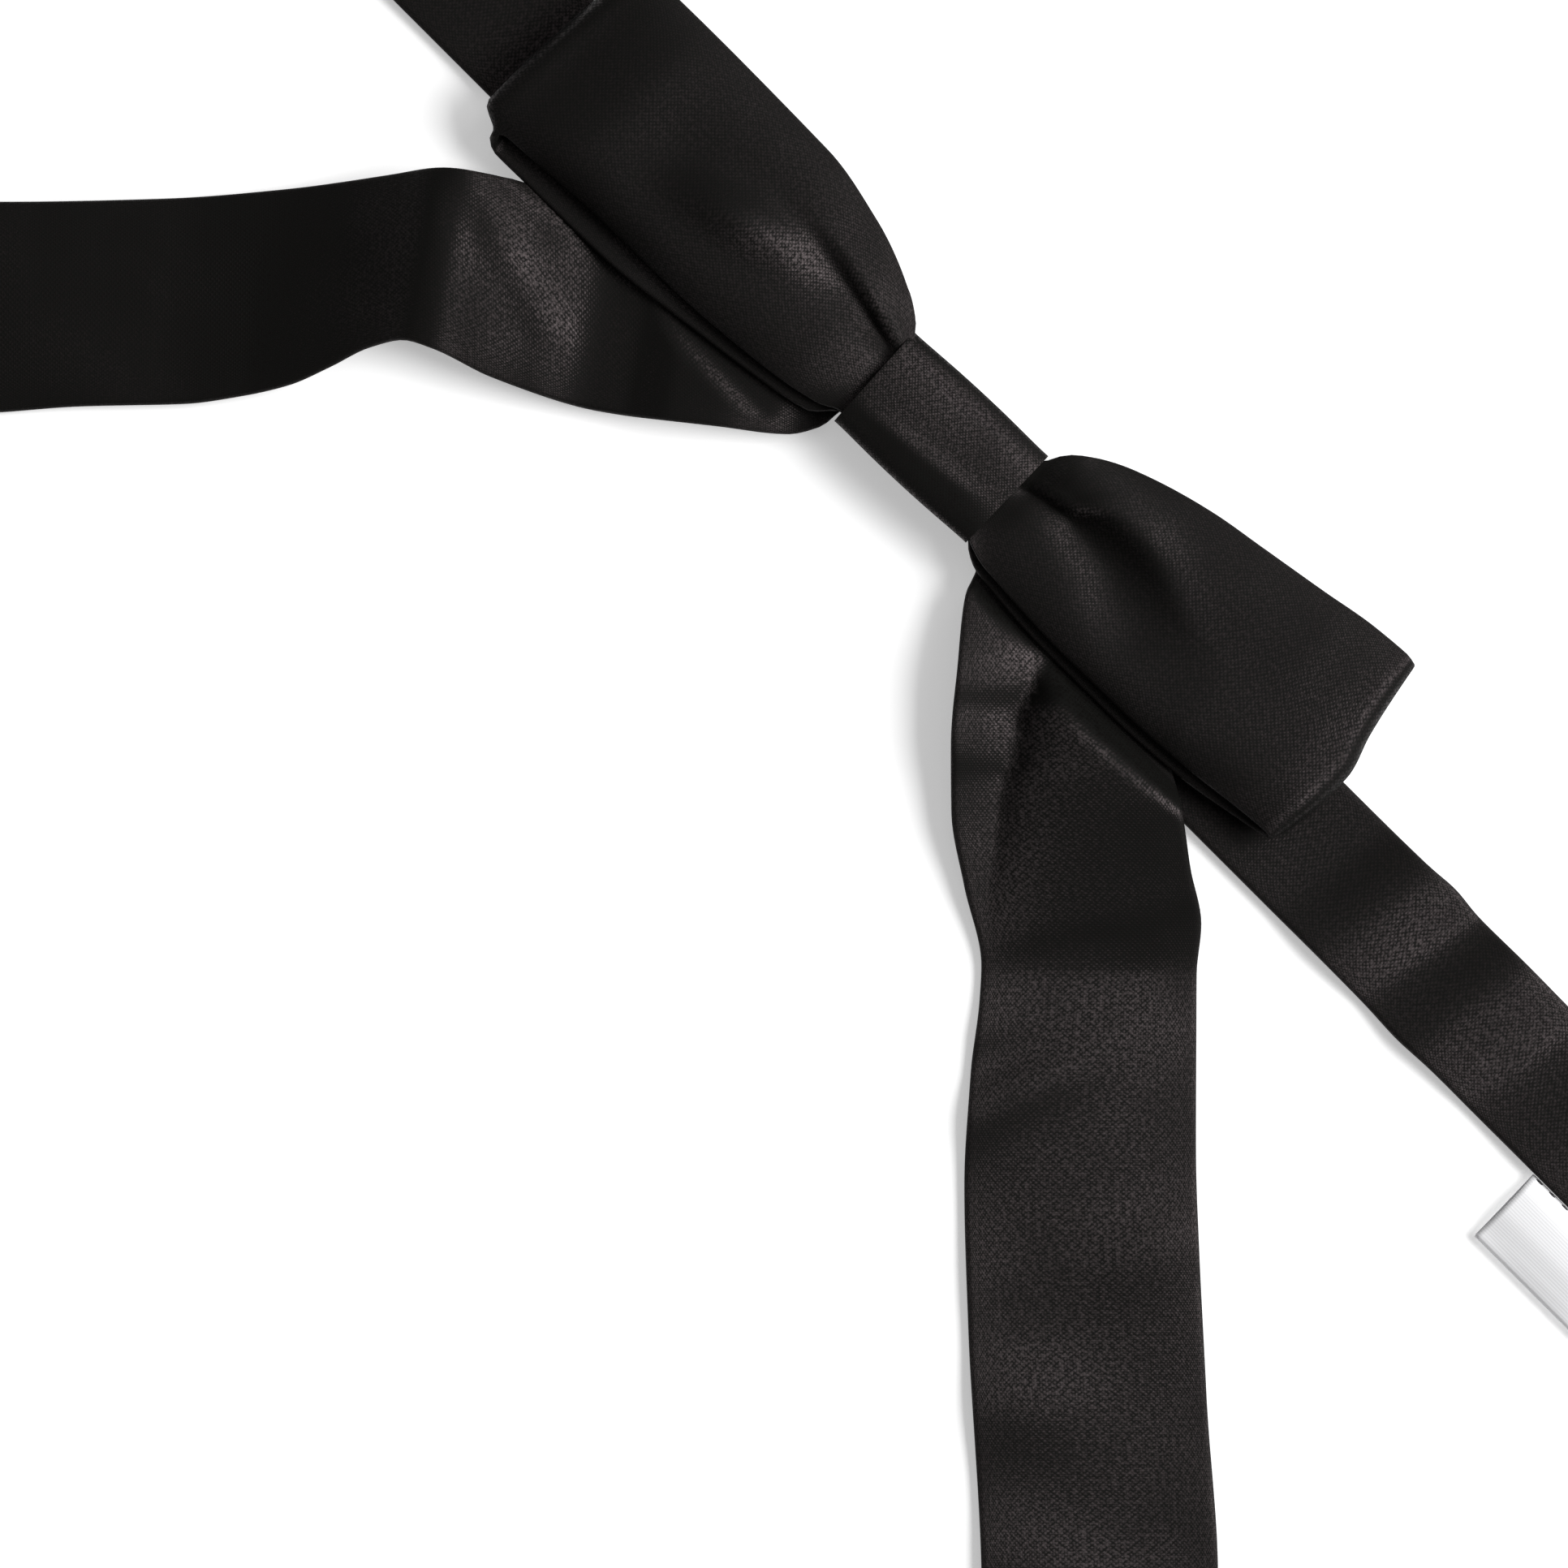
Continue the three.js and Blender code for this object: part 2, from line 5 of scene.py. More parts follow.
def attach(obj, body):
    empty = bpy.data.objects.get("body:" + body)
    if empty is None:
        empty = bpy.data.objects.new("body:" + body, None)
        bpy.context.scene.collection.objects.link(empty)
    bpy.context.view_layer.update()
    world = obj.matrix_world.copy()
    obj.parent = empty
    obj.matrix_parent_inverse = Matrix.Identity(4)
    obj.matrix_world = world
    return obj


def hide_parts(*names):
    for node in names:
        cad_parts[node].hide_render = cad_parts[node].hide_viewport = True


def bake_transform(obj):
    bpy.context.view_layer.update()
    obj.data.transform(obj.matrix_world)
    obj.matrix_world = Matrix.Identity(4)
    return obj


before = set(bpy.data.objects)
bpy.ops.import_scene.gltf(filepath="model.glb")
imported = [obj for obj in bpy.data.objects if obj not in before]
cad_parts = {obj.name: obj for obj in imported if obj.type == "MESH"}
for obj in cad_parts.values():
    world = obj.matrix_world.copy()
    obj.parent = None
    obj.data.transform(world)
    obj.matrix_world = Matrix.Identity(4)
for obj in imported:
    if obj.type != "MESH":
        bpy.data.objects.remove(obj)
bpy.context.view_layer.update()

mm = 0.001
scene = bpy.context.scene
print("frame loaded")

# camera and studio: the tie lies on a table and is seen from straight above, turned an eighth

view = {
    "middle": (16.5, -43.8),  # the spot under the camera, mm
    "across": 193.2,  # width of table in the frame, mm
    "height": 700.0,
    "turn": 45,  # degrees
}

camData = bpy.data.cameras.new("camera")
camera = bpy.data.objects.new("camera", camData)
scene.collection.objects.link(camera)
scene.camera = camera
camera.location = (view["middle"][0] * mm, view["middle"][1] * mm, view["height"] * mm)
camera.rotation_euler = (0, 0, math.radians(view["turn"]))
camData.sensor_width = 36
camData.lens = camData.sensor_width * view["height"] / view["across"]
camData.clip_start, camData.clip_end = 0.01, 20


def linearOf(hexColour):
    raw = [int(hexColour[i:i + 2], 16) / 255 for i in (1, 3, 5)]
    return tuple(c / 12.92 if c <= 0.04045 else ((c + 0.055) / 1.055) ** 2.4 for c in raw)


def addNode(tree, kind, settings=None, inputs=None):
    # settings are the node's own options, inputs are values or the sockets that feed it
    node = tree.nodes.new(kind)
    for key, value in (settings or {}).items():
        setattr(node, key, value)
    for key, value in (inputs or {}).items():
        if isinstance(value, bpy.types.NodeSocket):
            tree.links.new(value, node.inputs[key])
        else:
            node.inputs[key].default_value = value
    return node


def newMaterial(name):
    material = bpy.data.materials.new(name)
    material.use_nodes = True
    material.node_tree.nodes.clear()
    return material, material.node_tree


def finishMaterial(tree, shader):
    addNode(tree, "ShaderNodeOutputMaterial", inputs={"Surface": shader.outputs[0]})


floorLook = {"colour": "#f4f4f4", "glow": 0.45, "size": 6.0, "drop": 0.0004}


def makeFloor():
    material, tree = newMaterial("whitePaperSweep")
    tone = (*linearOf(floorLook["colour"]), 1)
    finishMaterial(tree, addNode(tree, "ShaderNodeBsdfPrincipled", inputs={
        "Base Color": tone, "Roughness": 0.9, "Specular IOR Level": 0.1,
        "Emission Color": tone, "Emission Strength": floorLook["glow"],
    }))
    bm = bmesh.new()
    bmesh.ops.create_grid(bm, x_segments=1, y_segments=1, size=floorLook["size"] / 2)
    bmesh.ops.translate(bm, verts=bm.verts, vec=(0, 0, -floorLook["drop"]))
    mesh = bpy.data.meshes.new("floor")
    bm.to_mesh(mesh)
    bm.free()
    mesh.materials.append(material)
    floor = bpy.data.objects.new("floor", mesh)
    scene.collection.objects.link(floor)


# side is along the table towards the light, measured from +X; size and distance in metres
lights = {
    "keyBox": {"side": 45, "rise": 44, "away": 1.1, "size": 0.6, "watts": 13.5},
    "wingBox": {"side": 83, "rise": 46, "away": 1.1, "size": 0.5, "watts": 1.8},
    "topFill": {"side": 135, "rise": 72, "away": 1.3, "size": 0.8, "watts": 1.2},
    "backFill": {"side": 225, "rise": 34, "away": 1.4, "size": 0.8, "watts": 1.0},
}


def makeLights():
    for name, look in lights.items():
        data = bpy.data.lights.new(name, "AREA")
        data.size = look["size"]
        data.energy = look["watts"]
        lamp = bpy.data.objects.new(name, data)
        scene.collection.objects.link(lamp)
        side, rise = math.radians(look["side"]), math.radians(look["rise"])
        aim = Vector((math.cos(side) * math.cos(rise), math.sin(side) * math.cos(rise), math.sin(rise)))
        lamp.location = aim * look["away"]
        lamp.rotation_euler = aim.to_track_quat("Z", "Y").to_euler()
    world = bpy.data.worlds.new("studio")
    scene.world = world
    world.use_nodes = True
    world.node_tree.nodes["Background"].inputs["Color"].default_value = (*linearOf("#f2f2f5"), 1)
    world.node_tree.nodes["Background"].inputs["Strength"].default_value = 0.05


makeFloor()
makeLights()
scene.view_settings.view_transform = "Standard"
print("studio ready")

# materials


# Silk satin: long warp floats lie side by side, so each is smooth along the ribbon and the sheen
# spreads across it. The dull binding points between them show as a slanting lattice of tiny dots,
# and uneven floats sparkle, so a lit patch looks like fine grain on a near-black ground.
satinLook = {
    "ground": "#090907",
    "float": "#0f0e0d",
    "sheen": "#f3e1e3",
    "pitch": 0.36,  # mm between rows of binding points, drawn a little coarser than the real 0.25
    "slant": 51,  # degrees between those rows and the ribbon's length
    "grain": 0.45,  # mm across one sparkling float
    "roughness": 0.45,
    "relief": 0.03,  # mm
}


def satin(name):
    material, tree = newMaterial(name)
    place = addNode(tree, "ShaderNodeUVMap", {"uv_map": "weave"})
    rows = []
    for slant in (satinLook["slant"], -satinLook["slant"]):
        turned = addNode(tree, "ShaderNodeMapping", inputs={
            "Vector": place.outputs[0], "Rotation": (0, 0, math.radians(slant))})
        rows.append(addNode(tree, "ShaderNodeTexWave", inputs={
            "Vector": turned.outputs[0], "Scale": math.pi / (10 * satinLook["pitch"]),
            "Distortion": 0.25, "Detail": 1.0, "Detail Scale": 3.0}))
    dots = addNode(tree, "ShaderNodeMath", {"operation": "MULTIPLY"}, {
        0: rows[0].outputs["Fac"], 1: rows[1].outputs["Fac"]})
    grain = addNode(tree, "ShaderNodeTexNoise", inputs={
        "Vector": place.outputs[0], "Scale": 1 / satinLook["grain"], "Detail": 3.0, "Roughness": 0.7})
    sparkle = addNode(tree, "ShaderNodeMapRange", inputs={
        "Value": grain.outputs["Fac"], "From Min": 0.46, "From Max": 0.70, "To Min": 0.0, "To Max": 1.0})
    shine = addNode(tree, "ShaderNodeMath", {"operation": "MULTIPLY_ADD", "use_clamp": True}, {
        0: dots.outputs[0], 1: 0.7, 2: sparkle.outputs[0]})
    cloudy = addNode(tree, "ShaderNodeTexNoise", inputs={
        "Vector": place.outputs[0], "Scale": 0.07, "Detail": 2.0, "Roughness": 0.6})
    gloss = addNode(tree, "ShaderNodeMapRange", inputs={
        "Value": cloudy.outputs["Fac"], "From Min": 0.38, "From Max": 0.66,
        "To Min": satinLook["roughness"] - 0.07, "To Max": satinLook["roughness"] + 0.17})
    bump = addNode(tree, "ShaderNodeBump", inputs={
        "Strength": 0.4, "Distance": satinLook["relief"] * mm, "Height": dots.outputs[0]})
    tangent = addNode(tree, "ShaderNodeTangent", {"direction_type": "UV_MAP", "uv_map": "weave"})
    ground = addNode(tree, "ShaderNodeBsdfPrincipled", inputs={
        "Base Color": (*linearOf(satinLook["ground"]), 1), "Roughness": 0.75, "Specular IOR Level": 0.15,
        "Normal": bump.outputs[0]})
    floats = addNode(tree, "ShaderNodeBsdfPrincipled", inputs={
        "Base Color": (*linearOf(satinLook["float"]), 1), "Roughness": gloss.outputs[0], "IOR": 1.5,
        "Specular Tint": (*linearOf(satinLook["sheen"]), 1),
        "Anisotropic": 0.9, "Anisotropic Rotation": 0.25, "Tangent": tangent.outputs[0],
        "Sheen Weight": 0.01, "Sheen Roughness": 0.4, "Normal": bump.outputs[0]})
    finishMaterial(tree, addNode(tree, "ShaderNodeMixShader", inputs={
        0: shine.outputs[0], 1: ground.outputs[0], 2: floats.outputs[0]}))
    return material


# Sewn thread: spun polyester, two strands twisted, so it has fine slanting ribs and little gloss.
def threadMaterial():
    material, tree = newMaterial("twistedPolyesterThread")
    place = addNode(tree, "ShaderNodeTexCoord")
    ribs = addNode(tree, "ShaderNodeTexWave", inputs={
        "Vector": place.outputs["Object"], "Scale": 1 / (0.3 * mm) * 0.16, "Distortion": 0.4})
    tone = addNode(tree, "ShaderNodeMix", {"data_type": "RGBA"}, {
        "Factor": ribs.outputs["Fac"], 6: (*linearOf("#0d0c0e"), 1), 7: (*linearOf("#2a272b"), 1)})
    bump = addNode(tree, "ShaderNodeBump", inputs={
        "Strength": 0.6, "Distance": 0.05 * mm, "Height": ribs.outputs["Fac"]})
    finishMaterial(tree, addNode(tree, "ShaderNodeBsdfPrincipled", inputs={
        "Base Color": tone.outputs[2], "Roughness": 0.6, "Normal": bump.outputs[0]}))
    return material


# Interlining: undyed plain-woven cotton canvas, matt, with an open over-and-under weave.
def canvasMaterial():
    material, tree = newMaterial("wovenCottonInterlining")
    place = addNode(tree, "ShaderNodeUVMap", {"uv_map": "weave"})
    threads = [addNode(tree, "ShaderNodeTexWave", {"bands_direction": way}, {
        "Vector": place.outputs[0], "Scale": math.pi / (10 * 0.5), "Distortion": 0.3})
        for way in ("X", "Y")]
    woven = addNode(tree, "ShaderNodeMath", {"operation": "MULTIPLY"}, {
        0: threads[0].outputs["Fac"], 1: threads[1].outputs["Fac"]})
    tone = addNode(tree, "ShaderNodeMix", {"data_type": "RGBA"}, {
        "Factor": woven.outputs[0], 6: (*linearOf("#b9b09a"), 1), 7: (*linearOf("#ded7c6"), 1)})
    bump = addNode(tree, "ShaderNodeBump", inputs={
        "Strength": 0.7, "Distance": 0.08 * mm, "Height": woven.outputs[0]})
    finishMaterial(tree, addNode(tree, "ShaderNodeBsdfPrincipled", inputs={
        "Base Color": tone.outputs[2], "Roughness": 0.9, "Normal": bump.outputs[0]}))
    return material


# Label tape: coated polyamide taffeta, pressed smooth, so it is bright white with a faint fine rib.
def labelMaterial():
    material, tree = newMaterial("coatedPolyamideTape")
    place = addNode(tree, "ShaderNodeUVMap", {"uv_map": "weave"})
    rib = addNode(tree, "ShaderNodeTexWave", {"bands_direction": "X"}, {
        "Vector": place.outputs[0], "Scale": math.pi / (10 * 0.35), "Distortion": 0.2})
    tone = addNode(tree, "ShaderNodeMix", {"data_type": "RGBA"}, {
        "Factor": rib.outputs["Fac"], 6: (*linearOf("#e6e6e8"), 1), 7: (*linearOf("#f4f4f5"), 1)})
    bump = addNode(tree, "ShaderNodeBump", inputs={
        "Strength": 0.25, "Distance": 0.03 * mm, "Height": rib.outputs["Fac"]})
    finishMaterial(tree, addNode(tree, "ShaderNodeBsdfPrincipled", inputs={
        "Base Color": tone.outputs[2], "Roughness": 0.45, "Sheen Weight": 0.1,
        "Normal": bump.outputs[0]}))
    return material


# Clasp: pressed steel, barrel-polished and nickel plated, so it is a warm grey metal with soft
# reflections, faint tumbling marks and slightly duller hollows.
def nickelMaterial():
    material, tree = newMaterial("nickelPlatedSteel")
    place = addNode(tree, "ShaderNodeTexCoord")
    marks = addNode(tree, "ShaderNodeTexNoise", inputs={
        "Vector": place.outputs["Object"], "Scale": 900.0, "Detail": 4.0, "Roughness": 0.6})
    gloss = addNode(tree, "ShaderNodeMapRange", inputs={
        "Value": marks.outputs["Fac"], "From Min": 0.3, "From Max": 0.7, "To Min": 0.2, "To Max": 0.36})
    tone = addNode(tree, "ShaderNodeMix", {"data_type": "RGBA"}, {
        "Factor": marks.outputs["Fac"], 6: (*linearOf("#b4b1ab"), 1), 7: (*linearOf("#cfccc5"), 1)})
    bump = addNode(tree, "ShaderNodeBump", inputs={
        "Strength": 0.15, "Distance": 0.02 * mm, "Height": marks.outputs["Fac"]})
    finishMaterial(tree, addNode(tree, "ShaderNodeBsdfPrincipled", inputs={
        "Base Color": tone.outputs[2], "Metallic": 1.0, "Roughness": gloss.outputs[0],
        "Normal": bump.outputs[0]}))
    return material


blackSatin = satin("warpFacedSilkSatin")
sewingThread = threadMaterial()
canvas = canvasMaterial()
labelTape = labelMaterial()
nickel = nickelMaterial()
print("materials ready")

# shapes


def smoothStep(low, high, value):
    f = min(max((value - low) / (high - low), 0), 1)
    return f * f * (3 - 2 * f)


def mix(a, b, f):
    return a + (b - a) * f


def hump(value, middle, width):
    return math.exp(-((value - middle) / width) ** 2)


def alongCurve(points, x):
    # a smooth line through (x, y) pairs that never swings past them
    if x <= points[0][0]:
        return points[0][1]
    if x >= points[-1][0]:
        return points[-1][1]
    i = next(k for k in range(len(points) - 1) if x <= points[k + 1][0])
    (x0, y0), (x1, y1) = points[i], points[i + 1]
    step = x1 - x0
    slope = (y1 - y0) / step
    before = slope if i == 0 else (y0 - points[i - 1][1]) / (x0 - points[i - 1][0])
    after = slope
    if i + 2 < len(points):
        after = (points[i + 2][1] - y1) / (points[i + 2][0] - x1)
    start = 0 if before * slope <= 0 else 2 * before * slope / (before + slope)
    end = 0 if after * slope <= 0 else 2 * after * slope / (after + slope)
    f = (x - x0) / step
    return (y0 * (1 + 2 * f) * (1 - f) ** 2 + start * step * f * (1 - f) ** 2
            + y1 * f * f * (3 - 2 * f) + end * step * f * f * (f - 1))


def pathOf(points):
    # points are (x, z, anything else...); returns its length and a function of 0..1 along it
    gone = [0.0]
    for a, b in zip(points, points[1:]):
        gone.append(gone[-1] + math.hypot(b[0] - a[0], b[1] - a[1]))
    tracks = [[(d, p[k]) for d, p in zip(gone, points)] for k in range(len(points[0]))]
    return gone[-1], lambda s: [alongCurve(track, s * gone[-1]) for track in tracks]


def keep(bm, name, material):
    mesh = bpy.data.meshes.new(name)
    bm.to_mesh(mesh)
    bm.free()
    for face in mesh.polygons:
        face.use_smooth = True
    mesh.materials.append(material)
    piece = bpy.data.objects.new(name, mesh)
    scene.collection.objects.link(piece)
    return piece


def gridOf(alongSteps, acrossSteps):
    # a flat grid from 0 to 1 both ways
    bm = bmesh.new()
    bmesh.ops.create_grid(bm, x_segments=alongSteps, y_segments=acrossSteps, size=0.5)
    bmesh.ops.translate(bm, verts=bm.verts, vec=(0.5, 0.5, 0))
    return bm


def weaveMap(bm, length, width):
    # the weave follows the cloth; one unit of the map is one millimetre
    layer = bm.loops.layers.uv.new("weave")
    for face in bm.faces:
        for loop in face.loops:
            loop[layer].uv = (loop.vert.co.x * length, loop.vert.co.y * width)


def turnWeave(bm):
    # for cloth that is wrapped round instead of running along
    layer = bm.loops.layers.uv["weave"]
    for face in bm.faces:
        for loop in face.loops:
            loop[layer].uv = (loop[layer].uv.y, loop[layer].uv.x)


def normalAt(surface, s, t):
    ds, dt = 1e-3, 1e-3
    s0, s1 = max(s - ds, 0), min(s + ds, 1)
    t0, t1 = max(t - dt, 0), min(t + dt, 1)
    alongWay = surface(s1, t) - surface(s0, t)
    acrossWay = surface(s, t1) - surface(s, t0)
    return alongWay.cross(acrossWay).normalized()


def casing(name, surface, length, width, half, ply, steps, shut=(0, 0), material=None):
    # a flat tube of satin: two plies a little apart, joined by a fold along each edge, and drawn
    # together over a short way at an end that is shut
    bm = gridOf(*steps)
    weaveMap(bm, length, 2 * width)
    for vert in bm.verts:
        s, c = vert.co.x, vert.co.y
        front = c <= 0.5
        t = 0.5 - 0.5 * math.cos(2 * math.pi * c)
        inside = min(t, 1 - t) * width  # distance from the nearest fold
        for closing, away in zip(shut, (s * length, (1 - s) * length)):
            if closing:
                inside = min(inside, away)
        thick = half(s) if callable(half) else half
        lift = thick * math.sqrt(max(1 - (1 - min(inside / thick, 1)) ** 2, 0))
        point, normal = surface(s, t), normalAt(surface, s, t)
        vert.co = (point + normal * (lift if front else -lift)) * mm
    bmesh.ops.remove_doubles(bm, verts=bm.verts, dist=1e-6)
    bmesh.ops.recalc_face_normals(bm, faces=bm.faces)
    piece = keep(bm, name, material or blackSatin)
    wall = piece.modifiers.new("ply", "SOLIDIFY")
    wall.thickness = ply * mm
    wall.offset = -1
    return piece


def flatStrip(name, surface, length, width, thickness, steps, material):
    # one ply of cloth
    bm = gridOf(*steps)
    weaveMap(bm, length, width)
    for vert in bm.verts:
        vert.co = surface(vert.co.x, vert.co.y) * mm
    piece = keep(bm, name, material)
    wall = piece.modifiers.new("ply", "SOLIDIFY")
    wall.thickness = thickness * mm
    wall.offset = 0
    return piece


def partOf(surface, alongShare, acrossShare):
    # the same surface between these shares of its length and width
    return lambda s, t: surface(mix(*alongShare, s), mix(*acrossShare, t))


def arcOf(x, z, radius, fromAngle, toAngle, step=15):
    way = 1 if toAngle > fromAngle else -1
    return [(x + radius * math.cos(math.radians(a)), z + radius * math.sin(math.radians(a)))
            for a in range(fromAngle, toAngle + way, way * step)]


def ruffle(x, y, size, height, seed):
    return height * noise.noise(Vector((x / size, y / size, seed)))


def stitches(name, places, radius):
    # places are the two ends of each stitch, in mm
    bm = bmesh.new()
    for start, end in places:
        along = end - start
        turn = along.to_track_quat("X", "Z").to_matrix().to_4x4()
        size = Matrix.Diagonal((along.length / 2 + radius * 0.6, radius, radius, 1))
        bmesh.ops.create_uvsphere(bm, u_segments=8, v_segments=6, radius=mm,
                                  matrix=Matrix.Translation((start + end) / 2 * mm) @ turn @ size)
    bmesh.ops.recalc_face_normals(bm, faces=bm.faces)
    return keep(bm, name, sewingThread)


def zigzag(middle, along, across, count, raised=0.0):
    # a bar tack: thread laid side to side many times over, along the strap by a small step each time
    ends = [middle + Vector((mix(-along, along, i / count), across * (1 if i % 2 else -1), raised))
            for i in range(count + 1)]
    return list(zip(ends, ends[1:]))


# bow: one interlined tube of satin folded into a flat ring, gathered at the knot

bowLook = {
    "half": 0.5,  # mm from the middle of the tube's thickness to each ply, as in the pieces below
    "ply": 0.22,
    "cut": (31.0, 262.0),  # folded width and length
    "steps": (300, 112),
    "backRise": 4.95,
    "frontRise": 6.8,
    "rightEnd": 64.2,
    "leftEnd": 68.0,
    "foldRadius": 1.85,
}

# edges of each wing, (distance from the knot's middle, y)
rightLowFront = [(0, -5.8), (10.8, -6.3), (12.5, -6.9), (15, -7.5), (27.7, -8.1), (40, -7.9),
                 (49.6, -7.3), (58, -6.3), (66, -5.6)]
rightLowBack = [(0, -5.8), (10.8, -6.3), (12.5, -7.6), (15, -8.6), (27.7, -9.5), (40, -9.4),
                (49.6, -8.8), (60.5, -7.0), (66, -6.0)]
rightHigh = [(0, 5.8), (10.8, 6.4), (11.6, 8.0), (13.7, 10.5), (19.9, 14.1), (30.8, 17.3), (37.3, 18.4),
             (46.8, 20.0), (54, 21.3), (60.5, 21.9), (66, 22.2)]
leftLowFront = [(0, -5.8), (10.8, -6.3), (13.9, -7.7), (23.7, -9.3), (35.4, -10.2), (50.2, -10.5),
                (59.7, -11.2), (69, -11.9)]
leftLowBack = [(0, -5.8), (10.8, -6.4), (14, -9.2), (22.1, -10.9), (33.2, -12.4), (44.5, -13.7),
               (57.2, -14.0), (69, -14.2)]
leftHigh = [(0, 5.8), (10.8, 6.4), (12.3, 8.0), (18.3, 11.3), (24.7, 13.4), (34.9, 15.2), (51.9, 15.4),
            (69, 15.3)]
# how far each end fold stands from its nominal place, (y, mm)
rightEndLine = [(-9, -2.4), (-7, -1.4), (-4, -0.2), (1, 0.5), (5.6, 0.4), (11.5, -1.3), (16.3, -2.4),
                (22, -3.5)]
leftEndLine = [(-14.2, -3.0), (-12, -2.6), (-9.9, 0.4), (-5, 0.5), (8.5, -0.2), (15.3, -0.9)]


def wingPath(end, rise, shoulder):
    # (distance from the knot's middle, height, layer), where layer goes from 0 at the back to 1 in front
    r = bowLook["foldRadius"]
    back, front = bowLook["backRise"], bowLook["frontRise"]
    foldMiddle = 4.35 + r
    turn = [(end - r + r * math.cos(a), foldMiddle + r * math.sin(a), 0.5 + 0.5 * math.sin(a))
            for a in (math.radians(d) for d in range(-75, 90, 15))]
    return [(0.5, back, 0), (11, back, 0), (40, back - 0.1, 0), (end - 9, 4.6, 0), (end - 3, 4.38, 0),
            *turn,
            (end - 3.2, foldMiddle + r + 0.15, 1), (end - 7, shoulder, 1), (end - 13, rise - 0.1, 1),
            (44, rise, 1), (34, rise - 0.2, 1), (26, rise - 0.5, 1), (19, rise - 1.0, 1),
            (14.5, front + 0.75, 1), (11.6, front + 0.1, 1), (10.5, front, 1), (0, front, 1)]


leftPath = [(-x, z, f) for x, z, f in wingPath(bowLook["leftEnd"], 9.4, 8.75)]
rightPath = wingPath(bowLook["rightEnd"], 8.8, 8.5)
bowLine = pathOf(leftPath + rightPath[-2::-1])[1]

# the pleat in each wing: its valley and the crest above it, how deep it is and how far it fades below
rightPleat = {
    "valley": [(11, 2.4), (14, 3.4), (17.4, 4.1), (21, 4.0), (26, 3.3), (31, 2.2), (36, 1.0), (46, 0)],
    "crest": [(11, 3.4), (14, 4.6), (17.4, 5.4), (19.5, 7.2), (22, 8.4), (25.5, 8.6), (31, 7.5), (36, 5.8),
              (46, 4.5)],
    "depth": [(10.5, 0.1), (12.5, 1.0), (16, 1.7), (20, 2.2), (26, 2.0), (32, 1.2), (38, 0.5), (46, 0)],
    "below": [(11, 1.4), (20, 2.6), (30, 4.8), (45, 8.0)],
}
leftPleat = {
    "valley": [(11, 2.8), (14, 3.6), (18, 4.3), (21, 4.8), (25, 5.2), (30, 5.6), (42, 6.0)],
    "crest": [(11, 4.0), (14, 5.0), (18, 6.0), (21, 6.7), (25, 7.4), (30, 8.0), (46, 8.5)],
    "depth": [(10.5, 0.1), (12.5, 1.1), (16, 1.8), (21, 1.6), (26, 0.9), (31, 0.3), (36, 0)],
    "below": [(11, 1.5), (18, 2.4), (28, 3.4), (40, 6.0)],
}


def pleatDrop(pleat, reach, y):
    valley, crest = alongCurve(pleat["valley"], reach), alongCurve(pleat["crest"], reach)
    depth = alongCurve(pleat["depth"], reach)
    if y < valley:
        return -depth * hump(y, valley, alongCurve(pleat["below"], reach))
    f = (y - valley) / (crest - valley)
    # the wall steepens up to a crest that the cloth rolls over
    rolled = 0.18 * depth * hump(f, 1.25, 0.5)
    return rolled - depth * max(1 - f * f, 0) if f < 1 else rolled


def bowSurface(s, t):
    x, z, layer = bowLine(s)
    right = x > 0

    def edges(reach):
        back, front = (rightLowBack, rightLowFront) if right else (leftLowBack, leftLowFront)
        top = alongCurve(rightHigh if right else leftHigh, reach)
        top -= 0.8 * (1 - layer) * smoothStep(14, 30, reach)  # the back layer is a little narrower
        return mix(alongCurve(back, reach), alongCurve(front, reach), layer), top

    reach = abs(x)
    endShift = alongCurve(rightEndLine if right else leftEndLine, mix(*edges(reach), t))
    reach += endShift * smoothStep(34, 63, reach)
    low, high = edges(reach)
    y = mix(low, high, t)
    middle, halfSpan = (low + high) / 2, (high - low) / 2
    side = (y - middle) / halfSpan
    crown = 0.9 * (1 - smoothStep(12, 34, reach)) * smoothStep(10.8, 14.5, reach) * abs(side) ** 3
    pleat = pleatDrop(rightPleat if right else leftPleat, reach, y)
    loose = smoothStep(13, 26, reach)
    wrinkle = loose * (ruffle(x, y, 17, 0.5, 3.1) + ruffle(x, y, 7, 0.10, 8.4))
    if right:
        # the cloth above the pleat billows out of the knot and sinks towards the wing's end
        pleat += 2.3 * hump(reach, 17.5, 11) * hump(y, 9.2, 4.2) * smoothStep(11, 15, reach)
    else:
        pleat += 2.0 * hump(reach, 36.5, 7.5) * hump(y, 3.1 - 0.25 * (reach - 30), 2.8)
        pleat += 0.9 * (reach - 53) / 7 * hump(reach, 53, 7) * hump(y, 3, 7)
    z += layer * (pleat - crown + wrinkle) + (1 - layer) * 0.3 * loose * ruffle(x, y, 20, 0.5, 6.2)
    # the front layer is pressed down on the back one along both edges
    back, pressed = bowLook["backRise"], 1.35 if side < 0 else 2.0
    if z > back + pressed:
        z = mix(z, back + pressed, smoothStep(11, 16, reach) * (side ** 6 if side < 0 else side ** 4))
    return underCamera(Vector((reach if right else -reach, y, z)))


def underCamera(place):
    # the outlines are drawn as the camera sees them, so higher points are drawn in a little
    draw = 1 - place.z / view["height"]
    return Vector((mix(view["middle"][0], place.x, draw), mix(view["middle"][1], place.y, draw), place.z))


